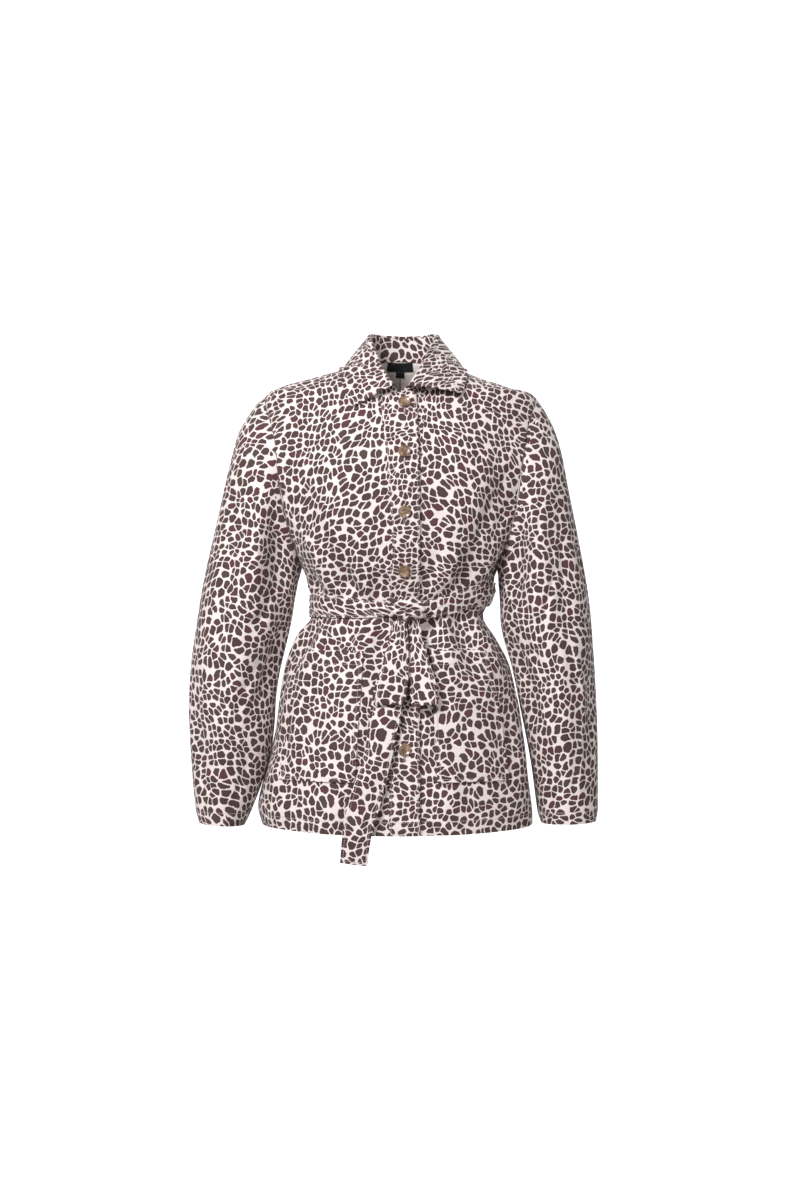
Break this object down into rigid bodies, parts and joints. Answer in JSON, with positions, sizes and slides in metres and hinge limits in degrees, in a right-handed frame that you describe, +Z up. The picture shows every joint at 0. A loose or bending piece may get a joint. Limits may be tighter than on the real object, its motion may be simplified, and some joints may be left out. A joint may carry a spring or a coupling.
{
  "type": "belted shirt jacket",
  "caption": "Hip-length cotton shirt jacket with a fold-over collar, button front, full sleeves, patch pockets and a tied self belt, in an animal spot print.",
  "frame": {"origin": "between the shoulders at the base of the neck, on the body's middle line, where the wearer holds the jacket up", "axes": "+Z up along the worn garment, +Y towards its back, +X towards the wearer's left"},
  "size_m": [0.6093, 0.3124, 0.783],
  "materials": {
    "spotted_cotton": "matt cotton twill, off-white ground with dense brown-mauve spots",
    "button_shell": "glossy tortoiseshell brown, four holes",
    "label_cloth": "plain dark woven label tape"
  },
  "bodies": {
    "root": {"front_right": "spotted_cotton", "front_left": "spotted_cotton", "back_right": "spotted_cotton", "back_left": "spotted_cotton", "sleeve_right": "spotted_cotton", "sleeve_left": "spotted_cotton", "collar_stand": "spotted_cotton", "collar_leaf": "spotted_cotton", "pocket_right": "spotted_cotton", "pocket_left": "spotted_cotton", "belt_band": "spotted_cotton", "belt_knot": "spotted_cotton", "belt_loop": "spotted_cotton", "belt_short_end": "spotted_cotton", "belt_long_end": "spotted_cotton", "button_1": "button_shell", "button_2": "button_shell", "button_3": "button_shell", "button_4": "button_shell", "button_5": "button_shell", "button_6": "button_shell", "button_7": "button_shell", "neck_label": "label_cloth", "size_tab": "label_cloth"}
  },
  "joints": []
}
